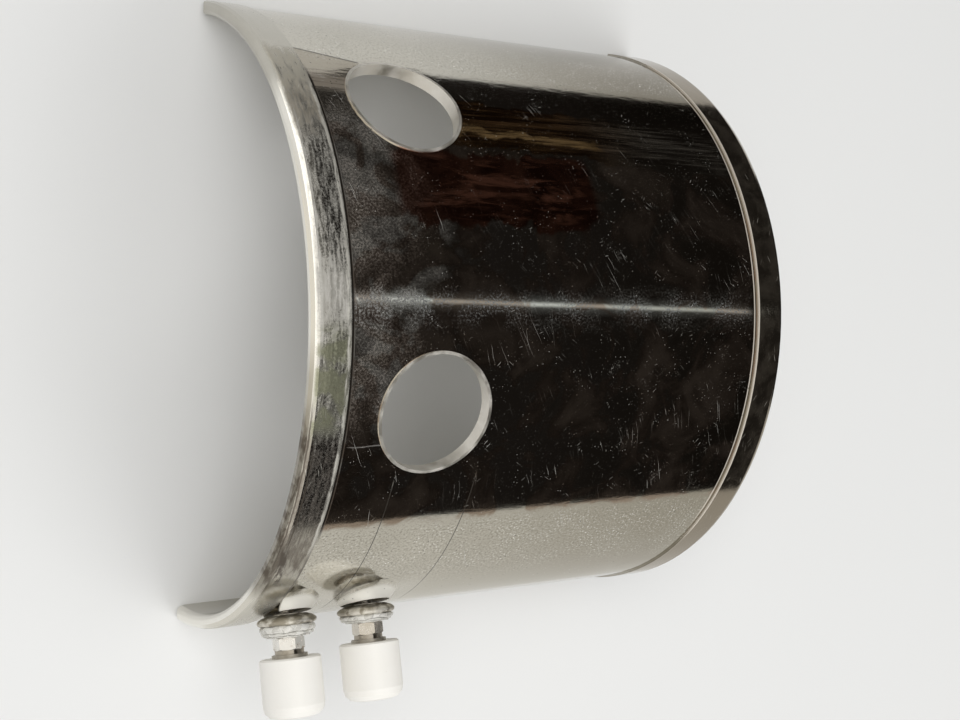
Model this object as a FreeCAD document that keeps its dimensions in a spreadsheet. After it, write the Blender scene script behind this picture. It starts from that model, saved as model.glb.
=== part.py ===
import FreeCAD, Part
import Sketcher
import math
import os

from FreeCAD import Placement, Rotation, Vector

doc = FreeCAD.newDocument("strip_heater")

# Frame: X runs along the barrel axis and x = 0 is the middle of the width.
# Z points out through the crest of the arc and angles count from Z towards Y.

# Driving sizes in mm and degrees
SIZES = {
    "barrel_radius": 80.0,
    "heater_length": 143.0,
    "half_arc": 86.2,
    "sheet_gauge": 0.5,
    "body_depth": 3.2,
    "hem_width": 9.6,
    "corner_radius": 4.0,
    "mica_inner": 0.5,
    "mica_core": 0.7,
    "mica_outer": 0.6,
    "core_margin": 7.5,
    "cover_margin": 4.1,
    "core_end_arc": 2.7,
    "hole_radius": 14.5,
    "hole_inset": 33.5,
    "hole_angle_up": 46.5,
    "hole_angle_low": -8.0,
    "lip_width": 0.4,
    "lip_gauge": 0.3,
    "liner_gauge": 0.35,
    "notch_length": 52.5,
    "notch_arc": 27.6,
    "ribbon_width": 2.5,
    "ribbon_gauge": 0.15,
    "ribbon_step": 5.86,
    "ribbon_start": -44.0,
    "ribbon_end_arc": 4.0,
    "post_angle": -54.5,
    "post_lean": 15.5,
    "post_inset": 24.97,
    "post_spacing": 22.56,
    "boss_lean": 7.75,
    "boss_height": 1.3,
    "boss_radius": 12.5,
    "boss_mouth": 6.3,
    "cup_standoff": 1.7,
    "stud_radius": 1.95,
    "stud_length": 20.6,
    "stud_head_radius": 3.75,
    "thread_clearance": 0.05,
    "plate_gauge": 0.3,
    "plate_length": 13.0,
    "plate_arc": 9.0,
    "sleeve_radius": 3.0,
    "cup_radius": 7.6,
    "cup_neck_radius": 5.2,
    "cup_height": 2.6,
    "pack_radius": 7.2,
    "pack_height_a": 3.0,
    "pack_height_b": 2.0,
    "nut_flats": 7.0,
    "nut_height": 3.2,
    "spring_radius": 3.7,
    "spring_height": 1.1,
    "washer_radius": 4.55,
    "washer_height": 0.8,
    "cap_radius": 7.8,
    "cap_length": 14.8,
    "cap_rounding": 3.0,
    "insert_length": 9.4,
    "fit_gap": 0.05,
}

sheet = doc.addObject("Spreadsheet::Sheet", "Sizes")
for row, (alias, number) in enumerate(SIZES.items(), start=1):
    sheet.set("A%d" % row, alias)
    sheet.set("B%d" % row, str(number))
    sheet.setAlias("B%d" % row, alias)
doc.recompute()


def size(alias):
    return float(getattr(sheet, alias))


# Radii of the layers, from the barrel outwards
gauge = size("sheet_gauge")
r_in = size("barrel_radius")
r_out = r_in + size("body_depth")
r_hem = r_out + gauge
r_inner_mica = r_in + gauge
r_inner_lane = r_inner_mica + size("mica_inner")
r_outer_mica = r_out - gauge - size("mica_outer")
lane = (r_outer_mica - r_inner_lane - size("mica_core")) / 2
r_core = r_inner_lane + lane
r_core_top = r_core + size("mica_core")
fit = size("fit_gap")

# Ends of the layers along the axis
half = size("heater_length") / 2
nose = (r_hem - r_in) / 2
half_cover = half - size("cover_margin")
half_core = half - size("core_margin")
half_arc = size("half_arc")
core_arc = half_arc - size("core_end_arc")
core_formula = "2 * (Sizes.half_arc - Sizes.core_end_arc)"
wall_arc = math.degrees(gauge / r_out)
lid_arc = half_arc - wall_arc - math.degrees(fit / r_out)
hem_edge = half - size("hem_width")
lid_half = half - size("corner_radius") - fit
hole_x = size("hole_inset") - half
posts_x = {
    "a": size("post_inset") - size("post_spacing") / 2 - half,
    "b": size("post_inset") + size("post_spacing") / 2 - half,
}
HOLES = {"upper": "hole_angle_up", "lower": "hole_angle_low"}


def new_body(label, place=None):
    body = doc.addObject("PartDesign::Body", label)
    body.Label = label
    if place is not None:
        body.Placement = place
    return body


def new_sketch(body, name, role="XZ_Plane", shift=0.0, angle=0.0, foot=(0, 0)):
    """Sketch on an origin plane, moved along X to a foot and turned about X to an angle."""
    sketch = body.newObject("Sketcher::SketchObject", name)
    for feature in body.Origin.OriginFeatures:
        if getattr(feature, "Role", "") == role:
            sketch.AttachmentSupport = [(feature, "")]
    sketch.MapMode = "FlatFace"
    turn = Rotation(Vector(1, 0, 0), -angle)
    sketch.AttachmentOffset = Placement(Vector(shift, foot[1], -foot[0]), turn)
    return sketch


def polygon(sketch, points):
    """Closed outline of straight edges; a point with a third value bulges its edge by that much."""
    first = sketch.GeometryCount
    count = len(points)
    for n in range(count):
        here, there = points[n], points[(n + 1) % count]
        start, end = Vector(here[0], here[1], 0), Vector(there[0], there[1], 0)
        if len(here) == 3:
            chord = end - start
            side = Vector(chord.y, -chord.x, 0).normalize()
            middle = (start + end) * 0.5 + side * here[2]
            sketch.addGeometry(Part.Arc(start, middle, end), False)
        else:
            sketch.addGeometry(Part.LineSegment(start, end), False)
    for n in range(count):
        this, after = first + n, first + (n + 1) % count
        joint = points[(n + 1) % count]
        sketch.addConstraint(Sketcher.Constraint(
            "Coincident", this, end_near(sketch, this, joint), after, end_near(sketch, after, joint)))


def end_near(sketch, index, point):
    target = Vector(point[0], point[1], 0)
    near = (sketch.getPoint(index, 1) - target).Length < (sketch.getPoint(index, 2) - target).Length
    return 1 if near else 2


def box_points(x0, x1, y0, y1):
    return [(x0, y0), (x1, y0), (x1, y1), (x0, y1)]


def round_points(x, y, radius, start, end, steps):
    """Points along a round stretch, as the angle goes from start to end in degrees."""
    angles = [math.radians(start + (end - start) * n / steps) for n in range(steps + 1)]
    return [(x + radius * math.cos(a), y + radius * math.sin(a)) for a in angles]


def turn_feature(body, kind, sketch, axis, angle, midplane=False, expression=None):
    """Revolution or Groove of a sketch about its own H_Axis or V_Axis."""
    feature = body.newObject("PartDesign::" + kind, sketch.Name + "_turn")
    feature.Profile = sketch
    feature.ReferenceAxis = (sketch, [axis])
    feature.Angle = angle
    if expression:
        feature.setExpression("Angle", expression)
    feature.Midplane = midplane
    doc.recompute()
    sketch.Visibility = False
    return feature


def arc_layer(label, x0, x1, r0, r1, arc, expression):
    """A curved layer: a rectangle in the axial plane turned through the arc."""
    body = new_body(label)
    profile = new_sketch(body, label + "_profile")
    polygon(profile, box_points(x0, x1, r0, r1))
    turn_feature(body, "Revolution", profile, "H_Axis", 2 * arc, True, expression)
    return body


def radial_hole(body, name, x, angle, radius):
    """Round hole through every layer, its axis along a radius of the barrel."""
    profile = new_sketch(body, name, shift=x, angle=angle)
    polygon(profile, box_points(0, radius, r_in - 10, r_out + 10))
    turn_feature(body, "Groove", profile, "V_Axis", 360)


def cut_holes(body, eyelet_gap, post_radius=0.0):
    label = body.Label
    bore = size("hole_radius") + size("liner_gauge") + eyelet_gap
    for which, alias in HOLES.items():
        radial_hole(body, label + "_hole_" + which, hole_x, size(alias), bore)
    if post_radius:
        for which, x in posts_x.items():
            radial_hole(body, label + "_post_" + which, x, size("post_angle"), post_radius)


# Inner sheath: a shallow pan whose two round ends fold over the lid as hems
inner_sheath = new_body("inner_sheath")
profile = new_sketch(inner_sheath, "pan_profile")
polygon(profile, (
    round_points(half - nose, r_in + nose, nose, -90, 90, 5)
    + [(hem_edge, r_hem), (hem_edge, r_out), (-hem_edge, r_out), (-hem_edge, r_hem)]
    + round_points(-half + nose, r_in + nose, nose, 90, 270, 5)
))
turn_feature(inner_sheath, "Revolution", profile, "H_Axis", 2 * half_arc, True,
             "Sizes.half_arc * 2")
corner = size("corner_radius")
edge_z = (r_in + nose) * math.cos(math.radians(half_arc))
for n, side in enumerate((-1, 1)):
    corners = new_sketch(inner_sheath, "pan_corner_%d" % n)
    bulge = corner * (1 - math.sqrt(0.5))
    outer = side * (half + 1)
    tip = side * half
    polygon(corners, [
        (outer, edge_z - 3), (outer, edge_z + corner), (tip, edge_z + corner, -side * bulge),
        (tip - side * corner, edge_z), (tip - side * corner, edge_z - 3),
    ])
    cut = inner_sheath.newObject("PartDesign::Pocket", "pan_corner_cut_%d" % n)
    cut.Profile = corners
    cut.Type = "ThroughAll"
    cut.Midplane = True
    doc.recompute()
cavity = new_sketch(inner_sheath, "pan_cavity")
bend = nose - gauge
polygon(cavity, (
    round_points(half - nose, r_in + nose, bend, -90, 90, 2)
    + [(hem_edge, r_out), (hem_edge, r_hem + 1), (-hem_edge, r_hem + 1), (-hem_edge, r_out)]
    + round_points(-half + nose, r_in + nose, bend, 90, 270, 2)
))
solid_corner = math.degrees(corner / r_out)
turn_feature(inner_sheath, "Groove", cavity, "H_Axis", 2 * (half_arc - solid_corner), True)
slot = new_sketch(inner_sheath, "pan_slot")
polygon(slot, [
    (-lid_half, r_inner_mica), (lid_half, r_inner_mica), (lid_half, r_out), (hem_edge, r_out),
    (hem_edge, r_hem + 1), (-hem_edge, r_hem + 1), (-hem_edge, r_out), (-lid_half, r_out),
])
turn_feature(inner_sheath, "Groove", slot, "H_Axis", 2 * (half_arc - wall_arc), True)
cut_holes(inner_sheath, fit)

# Outer sheath: the lid under the hems, with a pressed boss round each post that leans half
# the way to it, runs out into the lid below it, and stops at the hem beside it
post_angle = size("post_angle")
lean = size("post_lean")
root = [math.sin(math.radians(post_angle)) * r_out, math.cos(math.radians(post_angle)) * r_out]
outer_sheath = arc_layer(
    "outer_sheath", -lid_half + fit, lid_half - fit, r_out - gauge, r_out, lid_arc,
    "2 * (Sizes.half_arc - (Sizes.sheet_gauge + Sizes.fit_gap)"
    " / (Sizes.barrel_radius + Sizes.body_depth) * 180 / pi)")
mouth = size("boss_mouth")
base = size("boss_radius")
rise = size("boss_height")
tilt = size("boss_lean")
crown = mouth + gauge / 2
sink = base * math.tan(math.radians(tilt)) + r_out - math.sqrt(r_out ** 2 - base ** 2)
swell = (base - crown) / 12


def boss_sketch(name, x, points):
    """Half outline of a boss, counted from where its post leaves the lid."""
    sketch = new_sketch(outer_sheath, name, shift=x, angle=post_angle - tilt, foot=root)
    polygon(sketch, points)
    return sketch


for which, x in posts_x.items():
    boss = boss_sketch("boss_" + which, x, [
        (mouth - 1, -gauge), (mouth - 1, -sink - gauge), (base, -sink - gauge),
        (base, -sink, -swell), (crown, rise), (mouth - 1, rise),
    ])
    turn_feature(outer_sheath, "Revolution", boss, "V_Axis", 360)
limits = new_sketch(outer_sheath, "boss_limits")
polygon(limits, [
    (-half - 5, r_out - 12), (half, r_out - 12), (half, r_out - gauge),
    (-lid_half + fit, r_out - gauge), (-lid_half + fit, r_out), (-hem_edge + fit, r_out),
    (-hem_edge + fit, r_out + rise + 5), (-half - 5, r_out + rise + 5),
])
turn_feature(outer_sheath, "Groove", limits, "H_Axis", 360)
for which, x in posts_x.items():
    hollow = boss_sketch("boss_hollow_" + which, x, [
        (0, -sink - 3), (base - gauge, -sink - 3), (base - gauge, -sink - gauge, -swell),
        (mouth, rise - gauge), (mouth, rise + 3), (0, rise + 3),
    ])
    turn_feature(outer_sheath, "Groove", hollow, "V_Axis", 360)
cut_holes(outer_sheath, fit)

# Mica covers above and below the wound core
inner_cover = arc_layer("inner_mica_cover", -half_cover, half_cover, r_inner_mica,
                        r_inner_lane, core_arc, core_formula)
cut_holes(inner_cover, 0.5)
outer_cover = arc_layer("outer_mica_cover", -half_cover, half_cover, r_outer_mica,
                        r_out - gauge - fit, core_arc, core_formula)
cut_holes(outer_cover, 0.5, size("sleeve_radius") + 1)

# Mica core, notched from the near end so that its turns can pass the holes and the posts
core = arc_layer("mica_core", -half_core, half_core, r_core, r_core_top, core_arc, core_formula)
notch_end = size("notch_length") - half
NOTCHES = [
    (size("hole_angle_up"), size("notch_arc")),
    (size("hole_angle_low"), size("notch_arc")),
    (size("post_angle"), size("plate_arc") + 8),
]
post_notch_end = posts_x["b"] + size("plate_length") / 2 + 3
for n, (angle, span) in enumerate(NOTCHES):
    reach = post_notch_end if n == 2 else notch_end
    notch = new_sketch(core, "core_notch_%d" % n, angle=angle)
    polygon(notch, box_points(-half, reach, r_core - 1, r_core_top + 1))
    turn_feature(core, "Groove", notch, "H_Axis", span, True)


# Resistance ribbon: straight runs on both faces of the core, linked round its two ends
def sector(x0, x1, r0, r1, start, end):
    """Part of a ring about the barrel axis, between two angles."""
    face = Part.makePolygon([
        Vector(x0, 0, r0), Vector(x1, 0, r0), Vector(x1, 0, r1), Vector(x0, 0, r1), Vector(x0, 0, r0),
    ])
    face = Part.Face(face)
    face.rotate(Vector(0, 0, 0), Vector(1, 0, 0), -start)
    return face.revolve(Vector(0, 0, 0), Vector(1, 0, 0), start - end)


strip = size("ribbon_gauge")
ribbon_half_arc = math.degrees(size("ribbon_width") / 2 / r_core_top)
ribbon_width = size("ribbon_width")
play = (lane - strip) / 2
low = (r_core - play - strip, r_core - play)
high = (r_core_top + play, r_core_top + play + strip)


def run(x0, x1, level, angle):
    return sector(x0, x1, level[0], level[1], angle - ribbon_half_arc, angle + ribbon_half_arc)


def link(x0, x1, levels, start, end):
    return sector(x0, x1, levels[0], levels[1], start - ribbon_half_arc, end + ribbon_half_arc)


def start_of_turn(angle):
    for centre, span in NOTCHES[:2]:
        if abs(angle - centre) < span / 2 - ribbon_half_arc:
            return notch_end
    return -half_core


step = size("ribbon_step")
turns = int((core_arc - size("ribbon_end_arc") - size("ribbon_start")) / step) + 1
angles = [size("ribbon_start") + n * step for n in range(turns)]
both = (low[0], high[1])
lead_x = posts_x["a"]
return_x = half_core + 3
pieces = [
    link(lead_x - ribbon_width / 2, lead_x + ribbon_width / 2, high,
         size("post_angle") + size("plate_arc") / 2 - 1, angles[0]),
]
for n, angle in enumerate(angles):
    begin = lead_x - ribbon_width / 2 if n == 0 else start_of_turn(angle)
    last = n == turns - 1
    if last:
        pieces.append(run(begin, return_x + ribbon_width, high, angle))
        break
    pieces.append(run(begin, half_core + strip, high, angle))
    back = angle + step / 2
    pieces.append(link(half_core, half_core + strip, both, angle, back))
    following = angles[n + 1]
    here = start_of_turn(back)
    there = start_of_turn(following)
    turn_x = max(here, there)
    if here == there:
        pieces.append(run(here - strip, half_core + strip, low, back))
        pieces.append(link(here - strip, here, both, back, following))
    else:
        pieces.append(run(turn_x, half_core + strip, low, back))
        pieces.append(link(turn_x, turn_x + ribbon_width, low, back, following))
        pieces.append(run(there - strip, turn_x + ribbon_width, low, following))
        pieces.append(run(there - strip, there, both, following))
pieces.append(link(return_x, return_x + ribbon_width, high, post_angle, angles[-1]))
pieces.append(run(posts_x["b"] + size("plate_length") / 2 - 2, return_x + ribbon_width, high,
                  post_angle))
ribbon = doc.addObject("Part::Feature", "resistance_ribbon")
ribbon.Label = "resistance_ribbon"
ribbon.Shape = pieces[0].multiFuse(pieces[1:]).removeSplitter()

# Round liners of the two holes, each with a lip lying on the outer sheath
along_x = Rotation(Vector(0, 0, 1), Vector(1, 0, 0))


def cylinder(name, expression, radius, height, place):
    solid = doc.addObject("Part::Cylinder", name)
    solid.Radius = radius
    if expression:
        solid.setExpression("Radius", expression)
    solid.Height = height
    solid.Placement = place
    return solid


def combine(kind, name, first, second):
    result = doc.addObject("Part::" + kind, name)
    result.Base = first
    result.Tool = second
    return result


def axial(name, radius):
    place = Placement(Vector(-half, 0, 0), along_x)
    return cylinder(name, None, radius, 2 * half, place)


for which, alias in HOLES.items():
    name = "hole_eyelet_" + which
    theta = size(alias)
    outward = Rotation(Vector(1, 0, 0), -theta)
    foot = Placement(Vector(hole_x, 0, 0), outward)
    top = r_out + size("lip_gauge")
    beyond = r_hem + nose
    liner = cylinder(name + "_liner", "Sizes.hole_radius + Sizes.liner_gauge", 1, beyond, foot)
    disc = cylinder(name + "_disc",
                    "Sizes.hole_radius + Sizes.liner_gauge + Sizes.lip_width", 1, beyond, foot)
    bore = cylinder(name + "_bore", "Sizes.hole_radius", 1, beyond + nose, foot)
    lip = combine("Common", name + "_lip", disc, axial(name + "_top", top))
    lip = combine("Cut", name + "_lip_cut", lip, axial(name + "_seat", r_out))
    tube = combine("Common", name + "_tube", liner, axial(name + "_tube_top", top))
    tube = combine("Cut", name + "_tube_cut", tube, axial(name + "_tube_seat", r_in))
    whole = combine("Fuse", name + "_whole", tube, lip)
    eyelet = combine("Cut", name, whole, bore)
    eyelet.Label = name

# Pieces of each terminal, stacked along a post that leans from its radius
clear = size("stud_radius") + size("thread_clearance")
stand = Rotation(Vector(1, 0, 0), lean - post_angle)
stack = {}
formula = {}


def lay_stack(which):
    """Heights at which the pieces of one post's stack start, and the formulas for them."""
    level = size("cup_standoff")
    text = "Sizes.cup_standoff"
    for key in ("cup", "pack", "nut", "spring", "washer"):
        stack[key] = level
        formula[key] = text
        height = key + "_height" + ("_" + which if key == "pack" else "")
        level += size(height)
        text += " + Sizes." + height
    stack["cap"] = level
    formula["cap"] = text


def stacked_sketch(body, name, key, role, axis):
    """Sketch whose own origin is raised along the post to the foot of a piece of the stack."""
    sketch = new_sketch(body, name, role)
    sketch.setExpression("AttachmentOffset.Base." + axis, formula[key])
    return sketch


def ring(label, place, key, points):
    """A turned piece; its outline counts from the foot of that piece of the stack."""
    body = new_body(label, place)
    profile = stacked_sketch(body, label + "_profile", key, "XZ_Plane", "y")
    polygon(profile, points)
    turn_feature(body, "Revolution", profile, "V_Axis", 360)
    return body


def prism(body, name, key, points, kind, length):
    """A pad or pocket along the post, as long as the named size."""
    sketch = stacked_sketch(body, name, key, "XY_Plane", "z")
    polygon(sketch, points)
    feature = body.newObject("PartDesign::" + kind, name + "_" + kind.lower())
    feature.Profile = sketch
    feature.Length = size(length)
    feature.setExpression("Length", "Sizes." + length)
    if kind == "Pocket":
        feature.Reversed = True
    doc.recompute()
    return feature


def bored(body, name, key, radius, low, high):
    """Turns away all that is nearer than radius to the post, between two heights."""
    profile = stacked_sketch(body, name, key, "XZ_Plane", "y")
    polygon(profile, box_points(0, radius, low, high))
    turn_feature(body, "Groove", profile, "V_Axis", 360)


for which, x in posts_x.items():
    post = Placement(Vector(x, root[0], root[1]), stand)
    lay_stack(which)

    # Flat plate that joins the ribbon to the stud
    plate = new_body("contact_plate_" + which)
    profile = new_sketch(plate, "plate_profile_" + which, angle=post_angle)
    reach = size("plate_length") / 2
    polygon(profile, box_points(x - reach, x + reach, r_core_top - size("plate_gauge"), r_core_top))
    turn_feature(plate, "Revolution", profile, "H_Axis", size("plate_arc"), True,
                 "Sizes.plate_arc")
    radial_hole(plate, "plate_hole_" + which, x, post_angle, clear + 0.15)

    # Stud: a flat head and neck inside the heater, then the leaning threaded shank
    stud = new_body("terminal_stud_" + which, post)
    rod = size("stud_radius")
    tip = size("stud_length")
    section = new_sketch(stud, "shank_" + which, role="XY_Plane")
    section.addGeometry(Part.Circle(Vector(0, 0, 0), Vector(0, 0, 1), rod), False)
    section.addConstraint(Sketcher.Constraint("Coincident", 0, 3, -1, 1))
    section.addConstraint(Sketcher.Constraint("Radius", 0, rod))
    section.setExpression("Constraints[1]", "Sizes.stud_radius")
    shank = stud.newObject("PartDesign::Pad", "shank_pad_" + which)
    shank.Profile = section
    shank.Length = tip
    shank.setExpression("Length", "Sizes.stud_length")
    doc.recompute()
    point = new_sketch(stud, "shank_point_" + which)
    polygon(point, [(rod - 0.6, tip), (rod + 1, tip - 1.6), (rod + 1, tip)])
    turn_feature(stud, "Groove", point, "V_Axis", 360)
    neck = new_sketch(stud, "neck_" + which, angle=lean)
    head = size("stud_head_radius")
    head_top = math.sqrt((r_core_top - size("plate_gauge")) ** 2 - head ** 2) - r_out
    head_foot = r_inner_lane + 0.03 - r_out
    polygon(neck, [(0, head_foot), (head, head_foot), (head, head_top), (rod, head_top),
                   (rod, 0.1), (rod - 0.5, 0.6), (0, 0.6)])
    turn_feature(stud, "Revolution", neck, "V_Axis", 360)

    # Insulating sleeve round the stud
    sleeve = size("sleeve_radius")
    ring("insulating_sleeve_" + which, post, "cup",
         box_points(clear + 0.1, sleeve, -0.2, size("cup_height")))

    # Dished cup washer that bears on the boss
    neck_radius = size("cup_neck_radius")
    rim = size("cup_radius")
    tall = size("cup_height")
    ring("cup_washer_" + which, post, "cup", [
        (sleeve + fit, 0), (neck_radius, 0), (rim, 0.55 * tall), (rim - 0.2, tall),
        (sleeve + fit, tall),
    ])

    # Pack of mica washers, its lower edge worn to a slope
    wide = size("pack_radius")
    thick = size("pack_height_" + which)
    ring("mica_washer_" + which, post, "pack", [
        (clear + 0.1, 0), (wide, 0), (wide, 0.4 * thick), (wide - 0.7 * thick, thick),
        (clear + 0.1, thick),
    ])

    # Hex nut with its corners turned off
    flats = size("nut_flats") / 2
    corner_radius = flats / math.cos(math.radians(30))
    corners = [math.radians(60 * n + 30) for n in range(6)]
    hex_points = [(corner_radius * math.cos(a), corner_radius * math.sin(a)) for a in corners]
    nut = new_body("hex_nut_" + which, post)
    prism(nut, "hexagon_" + which, "nut", hex_points, "Pad", "nut_height")
    bevel = stacked_sketch(nut, "nut_bevel_" + which, "nut", "XZ_Plane", "y")
    top_face = size("nut_height")
    slope = (corner_radius - flats) * 0.6
    polygon(bevel, [(flats, -1), (corner_radius + 1, -1), (corner_radius + 1, slope + 0.6),
                    (flats, 0)])
    polygon(bevel, [(flats, top_face), (corner_radius + 1, top_face - slope - 0.6),
                    (corner_radius + 1, top_face + 1), (flats, top_face + 1)])
    turn_feature(nut, "Groove", bevel, "V_Axis", 360)
    bored(nut, "nut_bore_" + which, "nut", clear, -1, top_face + 1)

    # Split spring washer
    spring = ring("spring_washer_" + which, post, "spring",
                  box_points(clear + 0.15, size("spring_radius"), 0, size("spring_height")))
    split = new_sketch(spring, "spring_split_" + which, role="XY_Plane")
    polygon(split, [(-0.9, 0), (0.1, 0), (0.9, 6), (-0.1, 6)])
    gap = spring.newObject("PartDesign::Pocket", "spring_gap_" + which)
    gap.Profile = split
    gap.Type = "ThroughAll"
    gap.Midplane = True
    doc.recompute()

    # Flat washer under the cap
    ring("flat_washer_" + which, post, "washer",
         box_points(clear + 0.15, size("washer_radius"), 0, size("washer_height")))

    # Threaded insert held in the ceramic
    insert = new_body("cap_insert_" + which, post)
    prism(insert, "insert_hexagon_" + which, "cap", hex_points, "Pad", "insert_length")
    bored(insert, "insert_bore_" + which, "cap", clear, -1, size("insert_length") + 1)

    # Ceramic cap nut with a rounded end
    radius = size("cap_radius")
    end = size("cap_length")
    soft = size("cap_rounding")
    cap = ring("ceramic_cap_" + which, post, "cap", (
        [(0, 0), (radius - 0.4, 0), (radius, 0.4)]
        + round_points(radius - soft, end - soft, soft, 0, 90, 3)
        + [(0, end)]
    ))
    prism(cap, "cap_socket_" + which, "cap", hex_points, "Pocket", "insert_length")

doc.recompute()

NODES = [
    "inner_sheath", "outer_sheath", "inner_mica_cover", "outer_mica_cover", "mica_core",
    "resistance_ribbon", "hole_eyelet_upper", "hole_eyelet_lower",
]
PIECES = [
    "contact_plate", "terminal_stud", "insulating_sleeve", "cup_washer", "mica_washer", "hex_nut",
    "spring_washer", "flat_washer", "cap_insert", "ceramic_cap",
]
for which in posts_x:
    NODES += [piece + "_" + which for piece in PIECES]

for item in doc.Objects:
    if "Invalid" in item.State or "Error" in item.State:
        raise RuntimeError("object not computed: " + item.Name)

os.makedirs("parts", exist_ok=True)
for label in NODES:
    shape = doc.getObjectsByLabel(label)[0].Shape
    if shape.isNull() or not shape.isValid() or len(shape.Solids) != 1:
        raise RuntimeError("bad solid: %s %d" % (label, len(shape.Solids)))
    shape.exportStep("parts/%s.step" % label)
    print(label, round(shape.Volume, 1), [round(v, 2) for v in (
        shape.BoundBox.XMin, shape.BoundBox.XMax, shape.BoundBox.YMin, shape.BoundBox.YMax,
        shape.BoundBox.ZMin, shape.BoundBox.ZMax)])
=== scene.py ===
import math

import bpy
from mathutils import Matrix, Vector


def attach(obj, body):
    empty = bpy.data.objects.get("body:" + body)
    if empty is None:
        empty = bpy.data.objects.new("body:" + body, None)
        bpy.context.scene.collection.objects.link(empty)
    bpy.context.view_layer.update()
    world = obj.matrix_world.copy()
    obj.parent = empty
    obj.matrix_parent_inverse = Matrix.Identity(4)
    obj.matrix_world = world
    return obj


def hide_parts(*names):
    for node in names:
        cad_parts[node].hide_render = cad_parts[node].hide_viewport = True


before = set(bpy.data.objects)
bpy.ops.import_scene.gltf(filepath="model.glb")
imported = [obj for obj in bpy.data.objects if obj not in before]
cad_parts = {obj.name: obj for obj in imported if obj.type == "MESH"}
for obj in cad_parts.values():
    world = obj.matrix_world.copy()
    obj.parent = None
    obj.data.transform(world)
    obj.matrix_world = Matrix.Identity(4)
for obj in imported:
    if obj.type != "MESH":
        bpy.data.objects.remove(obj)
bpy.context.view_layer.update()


# Inner sheath
# A stainless pan bent to the barrel. Its ends roll round the heater's ends and fold over
# the lid as hems, which the rollers have left greyer and more scuffed than the lid.
# Its finish also carries painted light: a painted highlight and painted dark reflection on
# the rolled nose, painted highlights on the cut edges, a painted glow beside the bright line,
# a painted shadow by the left cut edge and painted pale reflections round the bosses.
BODY_RADIUS = 83.2
HEM_RADIUS = 83.7
HEM_EDGE = 61.9


class Wire:
    """One socket of a finish, on which sums and products can be written out."""

    def __init__(self, tree, socket):
        self.tree = tree
        self.socket = socket

    def node(self, kind, settings=None, inputs=None, output=0):
        """Adds a node, sets it up, joins what goes into it and gives one of its outputs."""
        made = self.tree.nodes.new("ShaderNode" + kind)
        for name, value in (settings or {}).items():
            if name == "stops":
                for index, (where, tone) in enumerate(value):
                    stop = (made.color_ramp.elements[index] if index < 2
                            else made.color_ramp.elements.new(where))
                    stop.position = where
                    stop.color = tone
            else:
                setattr(made, name, value)
        for name, value in (inputs or {}).items():
            if isinstance(value, Wire):
                self.tree.links.new(value.socket, made.inputs[name])
            else:
                made.inputs[name].default_value = value
        return Wire(self.tree, made.outputs[output])

    def other(self, output):
        return Wire(self.tree, self.socket.node.outputs[output])

    def math(self, operation, *values):
        return self.node("Math", {"operation": operation}, dict(enumerate(values)))

    def vector(self, operation, *values):
        return self.node("VectorMath", {"operation": operation}, dict(enumerate(values)))

    def __add__(self, value):
        return self.math("ADD", self, value)

    def __radd__(self, value):
        return self.math("ADD", value, self)

    def __sub__(self, value):
        return self.math("SUBTRACT", self, value)

    def __rsub__(self, value):
        return self.math("SUBTRACT", value, self)

    def __mul__(self, value):
        return self.math("MULTIPLY", self, value)

    def __rmul__(self, value):
        return self.math("MULTIPLY", value, self)

    def __truediv__(self, value):
        return self.math("DIVIDE", self, value)

    def above(self, low, high):
        """Rises smoothly from 0 at low to 1 at high, or falls where high is the lower."""
        settings = {"interpolation_type": "SMOOTHSTEP"}
        if low < high:
            return self.node("MapRange", settings,
                             {"Value": self, "From Min": low, "From Max": high})
        return 1 - self.above(high, low)

    def between(self, low, high, soft):
        """Is 1 from low to high and fades over soft outside them."""
        return self.above(low - soft, low) * self.above(high + soft, high)

    def either(self, value):
        return self.math("MAXIMUM", self, value)

    def part(self, axis):
        return self.node("SeparateXYZ", None, {0: self}, axis)

    def grain(self, size, detail=2.0, roughness=0.5, twist=0.0, stretch=(1, 1, 1)):
        """Noise whose lumps are about size across, longer along stretch."""
        scaled = self.vector("DIVIDE", self, stretch)
        return self.node("TexNoise", None, {
            "Vector": scaled, "Scale": 1 / size, "Detail": detail,
            "Roughness": roughness, "Distortion": twist})

    def tint(self, low, high):
        """Goes from colour low to colour high as this value goes from 0 to 1."""
        return self.node("Mix", {"data_type": "RGBA"}, {0: self, 6: low, 7: high}, 2)


def tone(red, green, blue):
    return (red, green, blue, 1.0)


def new_finish(name):
    """An empty finish, with the place on the object in millimetres."""
    finish = bpy.data.materials.new(name)
    finish.use_nodes = True
    start = Wire(finish.node_tree, None)
    place = start.node("TexCoord", None, None, "Object")
    place = place.node("VectorMath", {"operation": "SCALE"}, {0: place, "Scale": 1000})
    return finish, place


def settle(finish, color, metallic, roughness, height=None, depth=0.0):
    """Joins a finish's colour, metal, roughness and relief, whose depth is in millimetres."""
    tree = finish.node_tree
    shader = tree.nodes["Principled BSDF"]
    joined = {"Base Color": color, "Metallic": metallic, "Roughness": roughness}
    if height:
        joined["Normal"] = height.node("Bump", None, {
            "Height": height, "Distance": depth / 1000, "Strength": 1.0})
    for name, value in joined.items():
        if isinstance(value, Wire):
            tree.links.new(value.socket, shader.inputs[name])
        else:
            shader.inputs[name].default_value = value


def dress(finish, *names):
    for name in names:
        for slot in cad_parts[name].material_slots:
            slot.material = finish


def unrolled(place):
    """The sheet laid flat: millimetres along the barrel and round it from the crest."""
    round_it = place.math("ARCTAN2", place.part(1), place.part(2)) * BODY_RADIUS
    return place.node("CombineXYZ", None, {0: place.part(0), 1: round_it})


def off_axis(place):
    """Millimetres from the barrel's axis."""
    flat = place.node("CombineXYZ", None, {1: place.part(1), 2: place.part(2)})
    return flat.node("VectorMath", {"operation": "LENGTH"}, {0: flat}, "Value")


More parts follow.
